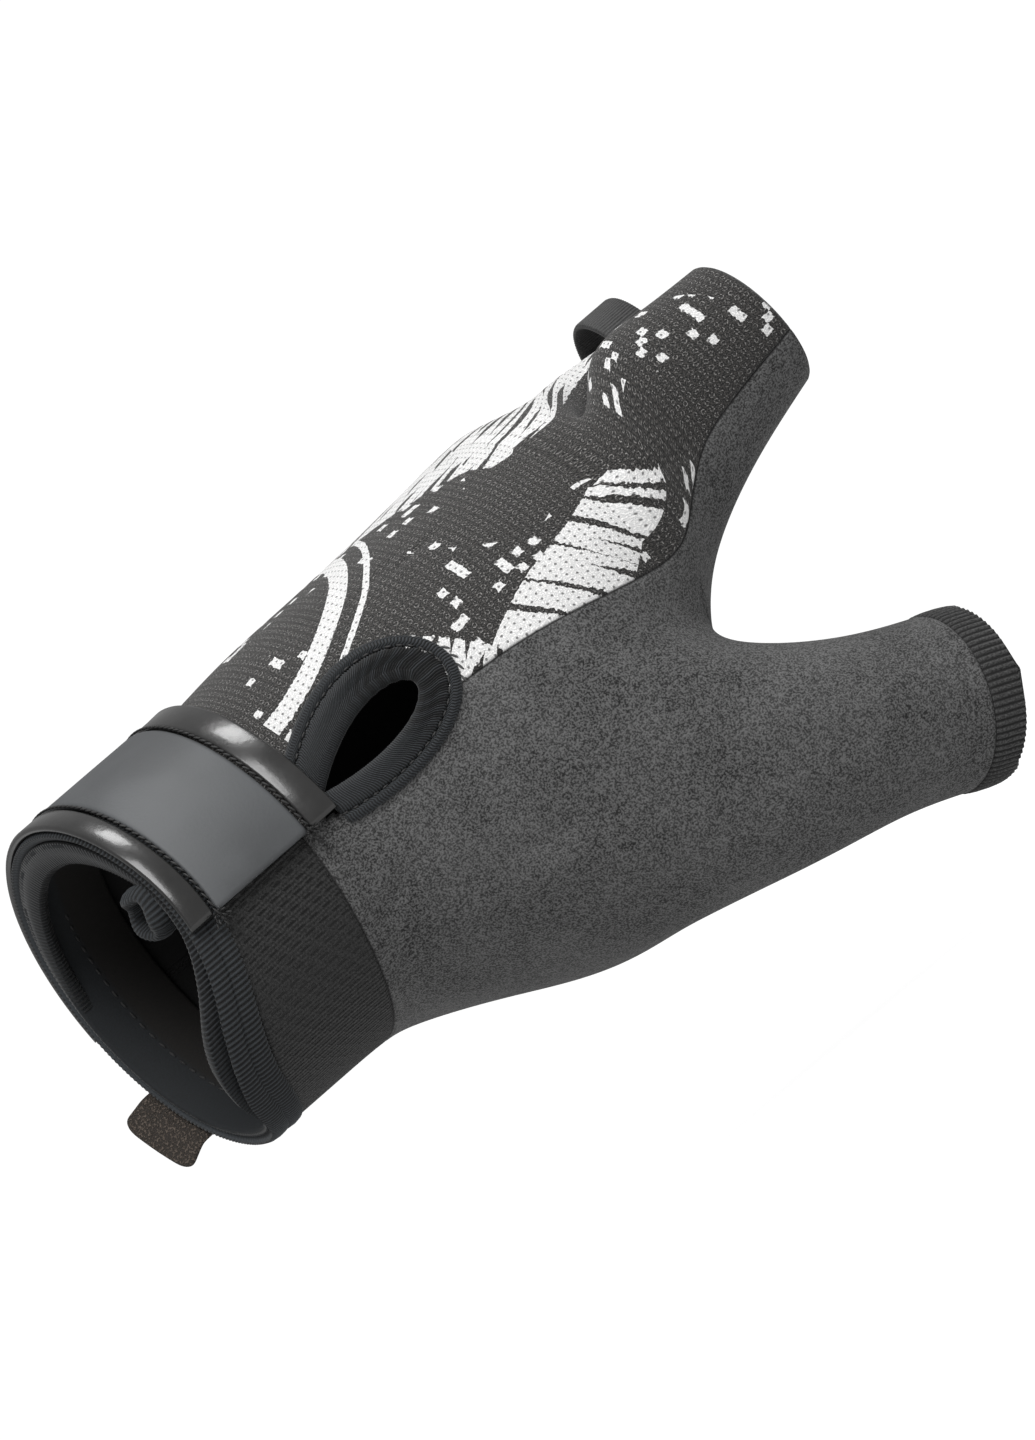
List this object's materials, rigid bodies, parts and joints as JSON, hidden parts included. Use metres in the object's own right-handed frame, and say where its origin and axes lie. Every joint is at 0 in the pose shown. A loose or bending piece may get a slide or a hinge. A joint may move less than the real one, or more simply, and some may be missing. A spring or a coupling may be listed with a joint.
{
  "type": "training glove",
  "caption": "Left-hand fingerless training glove, shown worn, with printed knit back, suede palm, wrist strap, thumb-side vent and webbing pull loop",
  "frame": {"origin": "centre of the wrist opening", "axes": "+X from the wrist to the fingers, +Y to the little finger side, +Z out of the back of the hand"},
  "size_m": [0.1509, 0.1002, 0.101],
  "materials": {
    "printed_knit": "black and white abstract print on dimpled mesh knit",
    "suede": "charcoal brushed synthetic suede",
    "cuff_knit": "dark knit with rows of small slanted holes",
    "rib_tape": "dark slate ribbed stretch tape",
    "facing_cloth": "smooth navy black facing",
    "matte_band": "matte dark grey band",
    "gloss_trim": "glossy black bonded trim",
    "hook_cloth": "brown black hook cloth",
    "webbing": "black ribbed webbing"
  },
  "bodies": {
    "root": {"back_panel": "printed_knit", "palm_panel": "suede", "thumb_hem": "suede", "cuff_panel": "cuff_knit", "wrist_binding": "rib_tape", "wrist_facing": "facing_cloth", "wrist_strap": "matte_band", "strap_trim_wrist": "gloss_trim", "strap_trim_hand": "gloss_trim", "keyhole_binding": "rib_tape", "slit_binding": "rib_tape", "closure_tab": "hook_cloth", "pull_loop": "webbing"}
  },
  "joints": []
}
